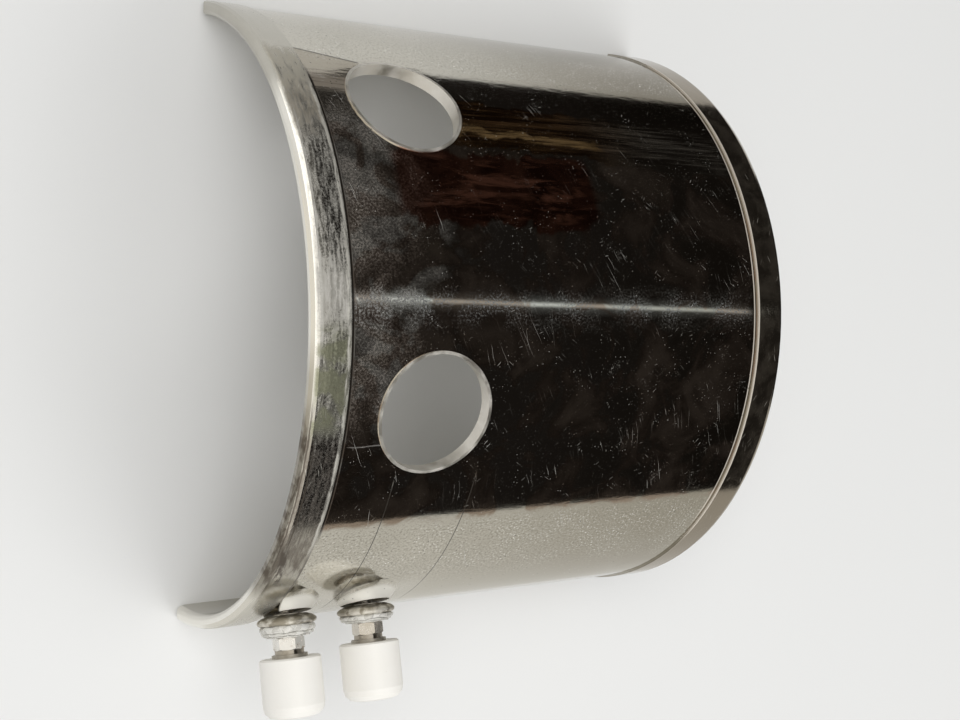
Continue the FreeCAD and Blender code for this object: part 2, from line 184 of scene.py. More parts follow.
def scratches(sheet, angle, length, width, share, shift):
    """Short straight marks near one angle; share of the places for one has a mark."""
    turned = sheet.node("VectorRotate", {"rotation_type": "Z_AXIS"},
                        {"Vector": sheet, "Angle": math.radians(angle)})
    bent = turned.vector("ADD", turned, turned.grain(9).node(
        "CombineXYZ", None, {1: turned.grain(14) * 2.4}))
    placed = bent.vector("ADD", bent, (shift, shift * 1.7, 0))
    scaled = placed.vector("DIVIDE", placed, (length * 5, width * 10, 1))
    cell = scaled.node("TexVoronoi", {"voronoi_dimensions": "2D"}, {"Vector": scaled, "Scale": 1})
    chance = cell.other("Color").part(0)
    weight = cell.other("Color").part(1)
    return cell.above(0.11, 0.06) * chance.above(1 - share, 1.001 - share) * (0.35 + weight * 0.65)


def specks(sheet, size, share, shift=0.0):
    """Round dots of about one size, on a share of the places for one."""
    placed = sheet.vector("ADD", sheet, (shift, shift * 1.3, 0))
    cell = placed.node("TexVoronoi", {"voronoi_dimensions": "2D"},
                       {"Vector": placed, "Scale": 0.2 / size})
    chance = cell.other("Color").part(0)
    return cell.above(0.14, 0.07) * chance.above(1 - share, 1.001 - share)


hem_steel, place = new_finish("rolled_hem_steel")
sheet = unrolled(place)
along = sheet.part(0)
around = sheet.part(1)
radius = off_axis(place)
mottle = sheet.grain(6, 5, 0.6, 0.6)
fine = sheet.grain(0.55, 3, 0.65)
drag = sheet.grain(0.85, 4, 0.66, 0.4, stretch=(1, 6, 1))
wander = sheet.grain(5, 3, 0.6)
outside = radius.above(HEM_RADIUS - 0.4, HEM_RADIUS - 0.1)
left_hem = along.above(-HEM_EDGE + 1, -HEM_EDGE - 1) * outside
nose = along.above(-68.6, -69.4)
# A matte film laid on the left hem in bands round the barrel. Its strongest band, 14 to 20 mm
# round from the crest beside the bright line, is a painted glow of that line.
FILM_AND_GLOW_LEVELS = (
    (0.0, 0.0), (1.0, 0.0), (0.22, 0.08), (0.28, 0.24), (0.41, 0.22), (0.47, 0.34), (0.52, 0.52),
    (0.57, 0.80), (0.60, 0.80), (0.645, 0.40), (0.70, 0.30), (0.78, 0.34), (0.83, 0.60),
    (0.88, 0.10))
film_and_glow = around.node("ValToRGB", {
    "stops": [(where, tone(level, level, level)) for where, level in FILM_AND_GLOW_LEVELS]},
    {0: around / 200 + 0.5})
texture = drag.above(0.43, 0.60) * 0.62 + fine.above(0.42, 0.66) * 0.45
smooth_part = film_and_glow.above(0.38, 0.85)
film_and_glow = film_and_glow * left_hem * (texture * (1 - smooth_part * 0.5) * 1.5 + smooth_part * 0.55)
olive = left_hem * around.between(-12, 6, 6) * mottle.above(0.34, 0.56)
# A painted highlight along the wavy cut edge of the left hem.
edge_line = along + (wander - 0.5) * 1.2 + HEM_EDGE
painted_cut_edge_highlight = (edge_line.above(-1.25, -0.7) * left_hem * (0.45 + drag.above(0.38, 0.56) * 0.55)
            * around.between(-46, 66, 8))
# A painted highlight along the right hem's cut edge.
painted_right_edge_highlight = (along - HEM_EDGE).between(-0.1, 0.45, 0.1)
painted_right_edge_highlight = painted_right_edge_highlight * radius.above(BODY_RADIUS - 0.05, BODY_RADIUS + 0.1)
painted_right_edge_highlight = painted_right_edge_highlight * around.between(-55, 100, 12)
# A painted shadow along the lower part of the left hem's cut edge.
shadow_edge = (along + HEM_EDGE).above(-0.7, -0.3) * left_hem * around.between(-72, -46, 6)
lower_dark = left_hem * (around + (drag - 0.5) * 16).between(-53, -20, 7)
lower_dark = lower_dark * (0.35 + drag.above(0.38, 0.6) * 0.65)
# A dark ragged blotch near the lower nose, which is then joined with the painted edge shadow.
dark_blotch_and_edge_shadow = around.between(-59, -49, 4) * (along + around * 0.12).between(-75.4, -74.2, 0.8)
dark_blotch_and_edge_shadow = left_hem * dark_blotch_and_edge_shadow
dark_blotch_and_edge_shadow = (dark_blotch_and_edge_shadow * (drag * 0.5 + mottle * 0.5).above(0.42, 0.50)).either(shadow_edge)
tarnish = (around + (mottle - 0.5) * 20).between(60, 80, 7) * along.above(-70.6, -69.6)
tarnish = left_hem * tarnish
tarnish = tarnish * (0.45 + drag.above(0.36, 0.56) * 0.55)
# A painted highlight along most of the rolled nose, and a painted dark reflection on its lower
# part.
painted_nose_highlight = nose * (around.between(10, 62, 14) + around.above(-62, -72))
painted_nose_dark_reflection = nose * around.between(-56, -18, 14)
# A painted pale reflection where the terminal bosses rise through the hem.
painted_seat_reflection = radius.above(HEM_RADIUS + 0.05, HEM_RADIUS + 0.6)
# corner: a painted pale reflection on the hem's low side round the terminal bosses.
corner = around.above(-64, -74) * left_hem * 0.8
wobbly = along + (wander - 0.5) * 0.7
end_lines = wobbly.between(-70.5, -70.3, 0.15) * around.above(-4, -16)
end_lines = end_lines.either(wobbly.between(-69.0, -68.8, 0.15) * around.above(-12, -26))
end_lines = end_lines * around.above(-58, -44) * outside.either(along.above(-68.4, -68.8))
scuff = scratches(sheet, 74, 2.5, 0.1, 0.22, 31).either(scratches(sheet, -62, 2.2, 0.1, 0.18, 67))
# Pale scuffs on the hem, together with the painted highlight on the cut edge.
scuffs_and_edge_highlight = (scuff * 0.55 * outside).either(painted_cut_edge_highlight)
right_hem = along.above(60, 63) * outside
brown_haze = right_hem * (0.3 + mottle.above(0.36, 0.66) * 0.7)
cover = film_and_glow.either(scuffs_and_edge_highlight * 0.75).either(olive * 0.4).either(painted_right_edge_highlight)
cover = cover.either(tarnish * 0.85).either(brown_haze * 0.08).either(painted_seat_reflection * 0.55)
cover = cover.either(corner * 0.5)
base = drag.tint(tone(0.46, 0.44, 0.39), tone(0.60, 0.58, 0.52))
base = (right_hem * 0.85).tint(base, tone(0.26, 0.215, 0.16))
base = painted_nose_highlight.tint(base, tone(0.84, 0.82, 0.76))
base = (painted_nose_dark_reflection * (0.5 + drag.above(0.4, 0.6) * 0.5)).tint(base, tone(0.13, 0.11, 0.09))
base = lower_dark.tint(base, tone(0.15, 0.125, 0.10))
base = film_and_glow.tint(base, drag.tint(tone(0.30, 0.28, 0.24), tone(0.55, 0.535, 0.50)))
base = olive.tint(base, fine.tint(tone(0.14, 0.14, 0.09), tone(0.40, 0.40, 0.29)))
base = dark_blotch_and_edge_shadow.either(end_lines * 0.85).tint(base, tone(0.07, 0.055, 0.04))
browned = (mottle * 0.4 + drag * 0.6).above(0.40, 0.60)
browned = browned.tint(tone(0.10, 0.085, 0.06), tone(0.28, 0.25, 0.20))
base = (tarnish * 0.9).tint(base, around.above(64, 76).tint(browned, tone(0.40, 0.37, 0.30)))
base = scuffs_and_edge_highlight.tint(base, tone(0.60, 0.58, 0.52))
# Painted tones: a highlight for the cut edges, and pale reflections for the low corner and the
# boss seats.
PAINTED_EDGE_HIGHLIGHT_TONE = tone(0.62, 0.56, 0.48)
PAINTED_CORNER_REFLECTION_TONE = tone(0.58, 0.56, 0.50)
PAINTED_PALE_REFLECTION_TONE = tone(0.76, 0.74, 0.68)
base = painted_right_edge_highlight.tint(base, PAINTED_EDGE_HIGHLIGHT_TONE)
base = corner.tint(base, PAINTED_CORNER_REFLECTION_TONE)
base = painted_seat_reflection.tint(base, PAINTED_PALE_REFLECTION_TONE)
shoulder = along.above(-66.4, -70.4) * radius.above(80.2, 83.0) * around.above(-22, -2)
settle(hem_steel, base,
       1 - cover.either(dark_blotch_and_edge_shadow * 0.7).either(end_lines * 0.6) * 0.85,
       0.07 + cover * 0.34 + left_hem * 0.05 + drag * 0.04 + painted_nose_highlight * 0.14,
       mottle * 0.55 + drag * 0.12 + fine * 0.03 - shoulder * 5.0, 0.04)
dress(hem_steel, "inner_sheath")


# Outer sheath
# The polished stainless lid that closes the pan, with its pressed seats for the terminals.
# Years of handling have left short scratches, pits and a bloom of fine dust, and copper,
# red-brown and gold streaks run along it. Painted light is laid in too: painted pale
# reflections on the bosses and round them, a painted glint by the right hem, a painted halo
# beside the bright line and a painted shadow in the gap by the left hem.
polished_steel, place = new_finish("polished_lid_steel")
sheet = unrolled(place)
along = sheet.part(0)
around = sheet.part(1)
wave = sheet.grain(34, 1, 0.4)
lumps = sheet.grain(7, 2, 0.5)
fine = sheet.grain(0.55, 2, 0.6)
frost = sheet.grain(0.62, 4, 0.66)
cloud = sheet.grain(16, 4, 0.6, 0.8)
patches = sheet.grain(9, 3, 0.55, 0.4)
busy = patches.above(0.46, 0.62)
marks = scratches(sheet, 38, 2.2, 0.06, 0.08, 3) * 0.7
for angle, length, width, share, shift in (
        (64, 4.4, 0.05, 0.10, 17), (-52, 1.6, 0.06, 0.06, 29), (76, 7.0, 0.045, 0.06, 43),
        (-18, 1.3, 0.06, 0.05, 59), (60, 12.0, 0.04, 0.07, 71)):
    marks = marks.either(scratches(sheet, angle, length, width, share, shift))
marks = marks * (0.12 + busy * 0.88)
dots = specks(sheet, 0.16, 0.05, 5).either(specks(sheet, 0.09, 0.10, 13) * 0.5)
dots = dots * (0.25 + busy * 0.75)
pits = specks(sheet, 0.3, 0.10, 23) * busy
smear = patches.above(0.62, 0.74) * fine.above(0.5, 0.66) * along.above(-20, 5)
dust_edge = along + (cloud - 0.5) * 40
dust = dust_edge.above(-30, -64) * around.between(-6, 58, 16)
dust = dust * (0.3 + fine.above(0.40, 0.66) * 0.7) * (0.3 + patches.above(0.36, 0.6) * 0.7)
# Dust grain with a painted halo of the bright line: a pale band that lies only beside it.
dust_and_line_halo = around.between(11.5, 15.5, 5) * fine.above(0.42, 0.7) * patches.above(0.34, 0.6)
veil = cloud.above(0.42, 0.70) * (0.4 + lumps * 0.6) * around.between(-38, 56, 6)
gap_shadow = along.between(-62.5, -61.2, 0.5) * around.between(-40, 72, 8)
# A painted glint along the lid just inside the right hem's cut edge.
painted_far_edge_glint = (along - HEM_EDGE).between(-1.15, -0.85, 0.12) * around.between(-48, 96, 10)
flank = around.above(-33, -42) + around.above(64, 74)
frosted = around.above(-40, -46) * around.above(-78, -62) + around.above(80, 84)
sparkle = frosted * frost.above(0.54, 0.68) * (0.35 + patches.above(0.35, 0.6) * 0.65)
dull_spots = frosted * frost.above(0.50, 0.34)
under_hole = around.between(70.5, 74.5, 3) * along.above(-46, -49)
frost_line = (around + along * 0.25).between(70.3, 70.6, 0.3) * along.between(-62, -46, 1)
hair_line = (around + (cloud - 0.5) * 2).between(-18.9, -18.7, 0.12) * along.between(-59, -48, 2)
streak = sheet.grain(1.5, 4, 0.62, 0.5, stretch=(20, 1, 1))
thread = sheet.grain(0.7, 3, 0.6, 0.3, stretch=(30, 1, 1))
bend = around + (cloud - 0.5) * 9 + along * 0.05
copper_zone = bend.between(57, 67, 3) * along.between(-24, 56, 14)
copper = copper_zone * (streak.above(0.42, 0.66) * 0.5 + thread.above(0.5, 0.68) * 0.6)
grey_end = along.above(2, 40)
gold = bend.between(58.5, 59.5, 1.4) * along.between(-26, 10, 10) * thread.above(0.36, 0.56)
broad = sheet.grain(3.4, 4, 0.62, 0.6, stretch=(5, 1, 1))
red_zone = (around + (cloud - 0.5) * 14).between(38, 49, 6) * along.between(-36, 0, 14)
red_brown = red_zone * broad.above(0.46, 0.66)
dark_line = (along + around * 0.012).between(-46.3, -46.15, 0.07) * around.between(-84, -31, 3)
dark_line = dark_line.either(
    (along + around * 0.02).between(-23.6, -23.45, 0.07) * around.between(-84, -30, 3))
aged = along.above(-55, 70)
base = aged.tint(tone(0.62, 0.595, 0.53), tone(0.34, 0.31, 0.25))
base = (cloud.above(0.3, 0.7) * 0.35).tint(base, tone(0.46, 0.44, 0.38))
base = (around.above(62, 76) * along.above(-25, 62)).tint(base, tone(0.19, 0.165, 0.12))
under_frost = (around + along * 0.25).above(70.8, 70.0) * around.above(60, 64)
base = (under_frost * along.above(-44, -47) * 0.8).tint(base, tone(0.37, 0.33, 0.265))
base = under_hole.tint(base, tone(0.30, 0.26, 0.21))
base = (dull_spots * 0.6).tint(base, tone(0.24, 0.22, 0.18))
base = veil.above(0.0, 0.2).tint(base, tone(0.34, 0.27, 0.21))
streaked = grey_end.tint(tone(0.24, 0.135, 0.06), tone(0.30, 0.27, 0.22))
base = copper_zone.above(0, 0.25).tint(base, streaked)
base = red_zone.above(0, 0.25).tint(base, tone(0.25, 0.105, 0.065))
base = gold.above(0, 0.3).tint(base, tone(0.42, 0.27, 0.12))
base = dust.tint(base, tone(0.42, 0.375, 0.33))
base = dust_and_line_halo.tint(base, tone(0.45, 0.45, 0.44))
base = sparkle.tint(base, tone(0.90, 0.88, 0.82))
base = marks.either(dots).either(smear * 0.5).either(hair_line * 0.7).tint(
    base, tone(0.58, 0.57, 0.54))
base = gap_shadow.tint(base, tone(0.018, 0.015, 0.012))
# The pressed bosses get a painted pale reflection: pale, matte and rougher than the lid.
boss_painted_reflection = off_axis(place).above(BODY_RADIUS + 0.04, BODY_RADIUS + 0.7)
# corner: a painted pale reflection on the lid's low side round the terminal bosses.
corner = around.above(-66, -74) * along.above(-18, -28) * 0.8
base = corner.tint(base, PAINTED_CORNER_REFLECTION_TONE)
base = boss_painted_reflection.tint(base, PAINTED_PALE_REFLECTION_TONE)
base = painted_far_edge_glint.tint(base, PAINTED_EDGE_HIGHLIGHT_TONE)
base = dark_line.either(pits).either(frost_line * 0.7).tint(base, tone(0.03, 0.028, 0.025))
cover = (dust * 0.30).either(marks * 0.6).either(dots * 0.8).either(sparkle * 0.42)
cover = cover.either(under_hole * (0.2 + streak.above(0.4, 0.56) * 0.5))
cover = cover.either(copper * 0.13).either(red_brown * 0.12).either(smear * 0.2)
cover = cover.either(dark_line.either(pits) * 0.8)
cover = cover.either(dust_and_line_halo * 0.14).either(hair_line * 0.22).either(veil * 0.05)
cover = cover.either(gold * 0.22).either(painted_far_edge_glint * 0.8).either(boss_painted_reflection * 0.55)
cover = cover.either(gap_shadow * 0.75).either(corner * 0.5)
droop = along.above(-25, -58) * around.above(52, 84)
ripple = (around * 2.7).math("SINE", around * 2.7) * along.above(-42, -50)
ripple = ripple * around.between(58, 68, 3)
jag = sheet.grain(2.2, 4, 0.62, 0.5, stretch=(4, 1, 1)) * (
    around.between(70, 82, 8) + around.between(-50, -38, 6) * 0.5)
settle(polished_steel, base,
       1 - cover,
       0.045 + dust * 0.2 + marks * 0.3 + dots * 0.3 + flank * 0.04 + sparkle * 0.2
       + dust_and_line_halo * 0.12 + boss_painted_reflection * 0.3 + corner * 0.15,
       wave * 0.75 + lumps * 0.14 - marks * 0.03 - droop * 32 + ripple * 0.3 + jag * 0.5, 0.06)
dress(polished_steel, "outer_sheath")


# Mica and ribbon
# The notched mica board, wound with its resistance ribbon, between two mica sheets. Only
# slivers of them are ever seen, where the sheaths meet at the heater's straight edges.
mica_finish, place = new_finish("split_mica")
flakes = place.node("TexVoronoi", None, {"Vector": place, "Scale": 0.7})
veins = place.grain(5, 4, 0.6, 1.0)
settle(mica_finish,
       veins.tint(tone(0.36, 0.28, 0.17), tone(0.62, 0.54, 0.38)),
       0.0,
       0.3 + flakes * 0.3,
       flakes + veins * 0.5, 0.03)
dress(mica_finish, "inner_mica_cover", "outer_mica_cover", "mica_core")

ribbon_finish, place = new_finish("oxidised_ribbon")
oxide = place.grain(2.5, 4, 0.6)
settle(ribbon_finish,
       oxide.tint(tone(0.16, 0.15, 0.14), tone(0.36, 0.33, 0.29)),
       0.9,
       0.35 + oxide * 0.25,
       oxide, 0.01)
dress(ribbon_finish, "resistance_ribbon")

nickel_finish, place = new_finish("nickel_strip")
rolled = place.grain(0.8, 3, 0.6, stretch=(8, 1, 1))
settle(nickel_finish,
       rolled.tint(tone(0.56, 0.53, 0.47), tone(0.70, 0.67, 0.60)),
       1.0,
       0.22 + rolled * 0.2,
       rolled, 0.01)
dress(nickel_finish, "contact_plate_a", "contact_plate_b")


# Hole eyelets
# Thin steel liners of the two holes, spun over at the outer face into a narrow bright lip.
# They grip the lid and line the cut through the mica and the pan.
liner_steel, place = new_finish("spun_liner_steel")
spun = place.grain(0.9, 3, 0.6)
dull = place.grain(4.5, 3, 0.6)
settle(liner_steel,
       (spun * 0.5 + dull * 0.5).tint(tone(0.66, 0.62, 0.55), tone(0.86, 0.83, 0.77)),
       1 - dull.above(0.35, 0.75) * 0.5,
       0.28 + spun * 0.2,
       spun * 0.2 + dull * 0.4, 0.03)
dress(liner_steel, "hole_eyelet_upper", "hole_eyelet_lower")


# Terminal studs
# Steel studs headed inside the heater, threaded over the length that carries the stack of
# washers, the nut and the cap. They lean down from the curve of the barrel.
POSTS = {"a": -57.81, "b": -35.25}
POST_ROOT = -54.5
POST_LEAN = -70.0
STUD_RADIUS = 1.95
THREAD_PITCH = 0.7
THREAD_DEPTH = 0.36
THREAD_TURNS = 31
STUD_TIP = 20.6


def rest():
    """Leaves object mode with nothing selected."""
    if bpy.context.object and bpy.context.object.mode != "OBJECT":
        bpy.ops.object.mode_set(mode="OBJECT")
    bpy.ops.object.select_all(action="DESELECT")


def work_on(piece):
    rest()
    piece.select_set(True)
    bpy.context.view_layer.objects.active = piece


def pick(piece, test):
    """Selects in edit mode the vertices whose place in millimetres passes a test."""
    bpy.ops.object.mode_set(mode="OBJECT")
    mesh = piece.data
    for group in (mesh.vertices, mesh.edges, mesh.polygons):
        for item in group:
            item.select = False
    for vertex in mesh.vertices:
        vertex.select = bool(test(vertex.co * 1000))
    bpy.ops.object.mode_set(mode="EDIT")
    bpy.ops.mesh.select_mode(type="VERT")


def stand_on_post(piece, x):
    """Stands a piece that was made upright at the origin on the terminal at x."""
    root = math.radians(POST_ROOT)
    work_on(piece)
    piece.rotation_euler = (math.radians(-POST_LEAN), 0, 0)
    piece.location = Vector((x, math.sin(root) * BODY_RADIUS, math.cos(root) * BODY_RADIUS)) / 1000
    bpy.ops.object.transform_apply(location=True, rotation=True, scale=True)


def copy_of(piece, name):
    other = piece.copy()
    other.data = piece.data.copy()
    other.name = name
    bpy.context.scene.collection.objects.link(other)
    return other


thread_steel, place = new_finish("stud_thread_steel")
stain = place.grain(1.6, 3, 0.6)
settle(thread_steel,
       stain.tint(tone(0.34, 0.31, 0.27), tone(0.62, 0.59, 0.54)),
       1.0,
       0.25 + stain * 0.2,
       stain, 0.01)


def draw(name, points):
    """A line of edges through points given as (radius, height) in millimetres."""
    rest()
    first = Vector((points[0][0], 0, points[0][1])) / 1000
    bpy.ops.mesh.primitive_plane_add(size=0.001, location=(0, 0, 0))
    piece = bpy.context.object
    piece.name = name
    pick(piece, lambda spot: spot.x + spot.y < 0.9)
    bpy.ops.mesh.delete(type="VERT")
    bpy.ops.mesh.select_all(action="SELECT")
    corner = Vector((0.0005, 0.0005, 0))
    bpy.ops.transform.translate(value=first - corner)
    for start, end in zip(points, points[1:]):
        step = Vector((end[0] - start[0], 0, end[1] - start[1])) / 1000
        bpy.ops.mesh.extrude_region_move(TRANSFORM_OT_translate={"value": step})
    return piece


def spin_round(piece, steps):
    """Spins a drawn line once round the upright axis and closes it."""
    bpy.ops.mesh.select_all(action="SELECT")
    bpy.ops.mesh.spin(steps=steps, angle=2 * math.pi, center=(0, 0, 0), axis=(0, 0, 1))
    bpy.ops.mesh.select_all(action="SELECT")
    bpy.ops.mesh.remove_doubles(threshold=0.000002)
    bpy.ops.mesh.normals_make_consistent(inside=False)
    bpy.ops.object.mode_set(mode="OBJECT")


root_radius = STUD_RADIUS - THREAD_DEPTH
thread = draw("threaded_stud_a", [
    (root_radius, -THREAD_PITCH), (root_radius, -THREAD_PITCH * 0.88),
    (STUD_RADIUS, -THREAD_PITCH * 0.54), (STUD_RADIUS, -THREAD_PITCH * 0.42),
    (root_radius, -THREAD_PITCH * 0.08), (root_radius, 0)])
bpy.ops.object.mode_set(mode="OBJECT")
winding = thread.modifiers.new("winding", "SCREW")
winding.axis = "Z"
winding.angle = 2 * math.pi
winding.screw_offset = THREAD_PITCH / 1000
winding.iterations = THREAD_TURNS
winding.steps = 24
winding.render_steps = 24
bpy.ops.object.modifier_apply(modifier="winding")
bpy.ops.object.mode_set(mode="EDIT")
bpy.ops.mesh.select_all(action="SELECT")
bpy.ops.mesh.remove_doubles(threshold=0.000005)
for height, up in ((0.0, False), (STUD_TIP, True)):
    bpy.ops.mesh.select_all(action="SELECT")
    bpy.ops.mesh.bisect(plane_co=(0, 0, height / 1000), plane_no=(0, 0, 1), use_fill=True,
                        clear_outer=up, clear_inner=not up)
bpy.ops.mesh.select_all(action="SELECT")
bpy.ops.mesh.normals_make_consistent(inside=False)

stud_head = draw("stud_head", [
    (0, -2.16), (3.75, -2.16), (3.75, -1.7), (1.93, -1.7), (1.93, 0.1), (1.45, 0.6), (0, 0.6)])
spin_round(stud_head, 32)
stud_head.rotation_euler = (math.radians(POST_LEAN - POST_ROOT), 0, 0)
work_on(stud_head)
bpy.ops.object.transform_apply(location=True, rotation=True, scale=True)
work_on(thread)
stud_head.select_set(True)
bpy.ops.object.join()
work_on(thread)
bpy.ops.object.shade_smooth_by_angle(angle=math.radians(30))
thread.data.materials.append(thread_steel)
studs = {"a": thread, "b": copy_of(thread, "threaded_stud_b")}
for which, x in POSTS.items():
    stand_on_post(studs[which], x)
    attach(studs[which], "heater")
    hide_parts("terminal_stud_" + which)


# Insulating sleeves
# Small ceramic tubes that keep the studs off the sheath where they pass through it. They are
# pressed and fired, unglazed, and slipped over the studs.
sleeve_finish, place = new_finish("sleeve_ceramic")
bake = place.grain(1.2, 3, 0.6)
settle(sleeve_finish,
       bake.tint(tone(0.62, 0.57, 0.47), tone(0.80, 0.76, 0.67)),
       0.0,
       0.5 + bake * 0.2,
       bake, 0.02)
dress(sleeve_finish, "insulating_sleeve_a", "insulating_sleeve_b")


# Cup washers
# Dished washers stamped from steel sheet, dulled and browned by the heat. They are slipped
# over the studs, and each stack is clamped on its cup by the nut.
dull_steel, place = new_finish("dull_cup_steel")
heat = place.grain(2.8, 4, 0.6, 0.6)
grit = place.grain(0.5, 3, 0.6)
worn = heat.above(0.42, 0.64)
settle(dull_steel,
       worn.tint(tone(0.36, 0.33, 0.27), tone(0.70, 0.67, 0.60)),
       0.9 - worn * 0.35,
       0.34 + grit * 0.22,
       grit + heat * 0.6, 0.05)
CUP_LINE = [
    (2.75, 1.72), (5.0, 1.72), (6.5, 2.25), (7.25, 2.75), (7.56, 3.2), (7.58, 3.55),
    (7.35, 3.95), (6.9, 4.2), (6.2, 4.28), (2.75, 4.28), (2.75, 1.72)]
cup = draw("cup_washer_a_spun", CUP_LINE)
spin_round(cup, 72)
dented = bpy.data.textures.new("dented", "CLOUDS")
dented.noise_scale = 0.004
dent = cup.modifiers.new("dent", "DISPLACE")
dent.texture = dented
dent.direction = "Z"
dent.strength = 0.0004
dent.mid_level = 0.5
work_on(cup)
bpy.ops.object.modifier_apply(modifier="dent")
bpy.ops.object.shade_smooth_by_angle(angle=math.radians(40))
cup.data.materials.append(dull_steel)
cups = {"a": cup, "b": copy_of(cup, "cup_washer_b_spun")}
for which, x in POSTS.items():
    stand_on_post(cups[which], x)
    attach(cups[which], "heater")
    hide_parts("cup_washer_" + which)


# Mica washers
# Each pack is a few rings split from mica, silvery and crumpled, whose rims have lifted and
# chipped. The first terminal has the thicker pack.
PACK_BORE = 2.1
PACK_START = 4.32
LEAVES = {"a": ((0.00, 1.62, 6.95), (1.66, 0.86, 6.55), (2.54, 0.40, 5.60)),
          "b": ((0.00, 1.12, 6.95), (1.14, 0.52, 6.40), (1.67, 0.28, 5.60))}

flaky_mica, place = new_finish("flaky_mica")
flakes = place.node("TexVoronoi", {"feature": "F1"}, {"Vector": place, "Scale": 0.6})
shade = flakes.other("Color").part(0)
crumple = place.grain(1.6, 4, 0.6, 0.8)
settle(flaky_mica,
       (shade * 0.35 + crumple * 0.75).tint(tone(0.46, 0.44, 0.39), tone(0.95, 0.94, 0.90)),
       0.25,
       0.16 + shade * 0.25,
       crumple + shade * 0.25, 0.35)

crumpling = bpy.data.textures.new("crumpling", "CLOUDS")
crumpling.noise_scale = 0.0021
crumpling.noise_depth = 2
for which, x in POSTS.items():
    leaves = []
    for lift, thick, rim in LEAVES[which]:
        low = PACK_START + lift
        leaf = draw("leaf", [
            (PACK_BORE, low), (rim * 0.75, low), (rim - 0.3, low), (rim, low + thick * 0.3),
            (rim, low + thick * 0.7), (rim - 0.3, low + thick), (rim * 0.75, low + thick),
            (PACK_BORE, low + thick), (PACK_BORE, low)])
        spin_round(leaf, 80)
        leaves.append(leaf)
    work_on(leaves[0])
    for leaf in leaves[1:]:
        leaf.select_set(True)
    bpy.ops.object.join()
    pack = leaves[0]
    pack.name = "mica_pack_" + which
    rim_side = pack.vertex_groups.new(name="rim_side")
    rim_side.add([corner.index for corner in pack.data.vertices
                  if math.hypot(corner.co.x, corner.co.y) > 0.0045], 1.0, "REPLACE")
    work_on(pack)
    bpy.ops.object.transform_apply(location=True, rotation=True, scale=True)
    for direction, strength in (("X", 0.0007), ("Y", 0.0007), ("Z", 0.0006)):
        push = pack.modifiers.new("crumple_" + direction, "DISPLACE")
        push.texture = crumpling
        push.direction = direction
        push.strength = strength
        push.mid_level = 0.5
        push.vertex_group = "rim_side"
        bpy.ops.object.modifier_apply(modifier=push.name)
    bpy.ops.object.shade_smooth_by_angle(angle=math.radians(38))
    pack.data.materials.append(flaky_mica)
    stand_on_post(pack, x)
    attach(pack, "heater")
    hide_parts("mica_washer_" + which)


# Nuts, spring washers and flat washers
# A nickel-plated hex nut clamps each stack. Above it lie a spring washer and a zinc-plated flat
# washer, between which the wire is held when the cap is screwed down.
nut_plate, place = new_finish("nickel_plate")
smear = place.grain(2.2, 3, 0.6)
rust = place.grain(1.1, 4, 0.6).above(0.6, 0.72)
second = place.part(0).above(-46, -44)
plating = second.tint(tone(0.93, 0.92, 0.88), tone(0.50, 0.45, 0.38))
settle(nut_plate,
       rust.tint(smear.tint(plating, tone(0.80, 0.77, 0.71)),
                 tone(0.22, 0.14, 0.08)),
       0.45 - rust * 0.3 + second * 0.35,
       0.16 + smear * 0.2 + rust * 0.3,
       smear + rust * 0.4, 0.03)
dress(nut_plate, "hex_nut_a", "hex_nut_b")

spring_finish, place = new_finish("spring_steel")
drawn = place.grain(0.7, 3, 0.6)
settle(spring_finish,
       drawn.tint(tone(0.34, 0.30, 0.25), tone(0.58, 0.54, 0.47)),
       0.85,
       0.3 + drawn * 0.25,
       drawn, 0.03)
dress(spring_finish, "spring_washer_a", "spring_washer_b")

zinc_finish, place = new_finish("zinc_plate")
bloomed = place.grain(1.5, 4, 0.6)
settle(zinc_finish,
       bloomed.tint(tone(0.20, 0.17, 0.13), tone(0.62, 0.59, 0.53)),
       0.8,
       0.28 + bloomed * 0.3,
       bloomed, 0.03)
dress(zinc_finish, "flat_washer_a", "flat_washer_b")


# Cap inserts and ceramic caps
# Each cap is white glazed ceramic, cemented over a threaded brass insert. It screws down on
# the stud by hand and holds the wire.
brass_finish, place = new_finish("brass_insert")
tarnish = place.grain(2.0, 3, 0.6)
settle(brass_finish,
       tarnish.tint(tone(0.42, 0.29, 0.11), tone(0.66, 0.50, 0.22)),
       1.0,
       0.25 + tarnish * 0.2,
       tarnish, 0.02)
dress(brass_finish, "cap_insert_a", "cap_insert_b")

glazed_ceramic, place = new_finish("white_ceramic")
body_tone = place.grain(6, 3, 0.5)
orange_peel = place.grain(1.3, 2, 0.5)
grime = place.grain(2.4, 4, 0.65).above(0.68, 0.8)
settle(glazed_ceramic,
       grime.tint(body_tone.tint(tone(0.91, 0.885, 0.83), tone(0.94, 0.92, 0.87)),
                  tone(0.62, 0.56, 0.47)),
       0.0,
       0.3 + orange_peel * 0.12 + grime * 0.3,
       orange_peel + body_tone * 0.5, 0.03)
dress(glazed_ceramic, "ceramic_cap_a", "ceramic_cap_b")


# Studio
# A pale floor under soft lamps, with cards and a hood that only the metal's gloss can see:
# they give the lid its dark field, its bright flanks and its thin bright line.
floor_level = 0.0053
rest()
bpy.ops.mesh.primitive_plane_add(size=2.8, location=(0, 0, floor_level - 0.00002))
floor = bpy.context.object
floor.name = "floor"
floor_finish, place = new_finish("pale_floor")
settle(floor_finish, place.grain(400, 2).tint(tone(0.80, 0.80, 0.79), tone(0.83, 0.83, 0.82)),
       0.0, 0.9)
floor.data.materials.append(floor_finish)


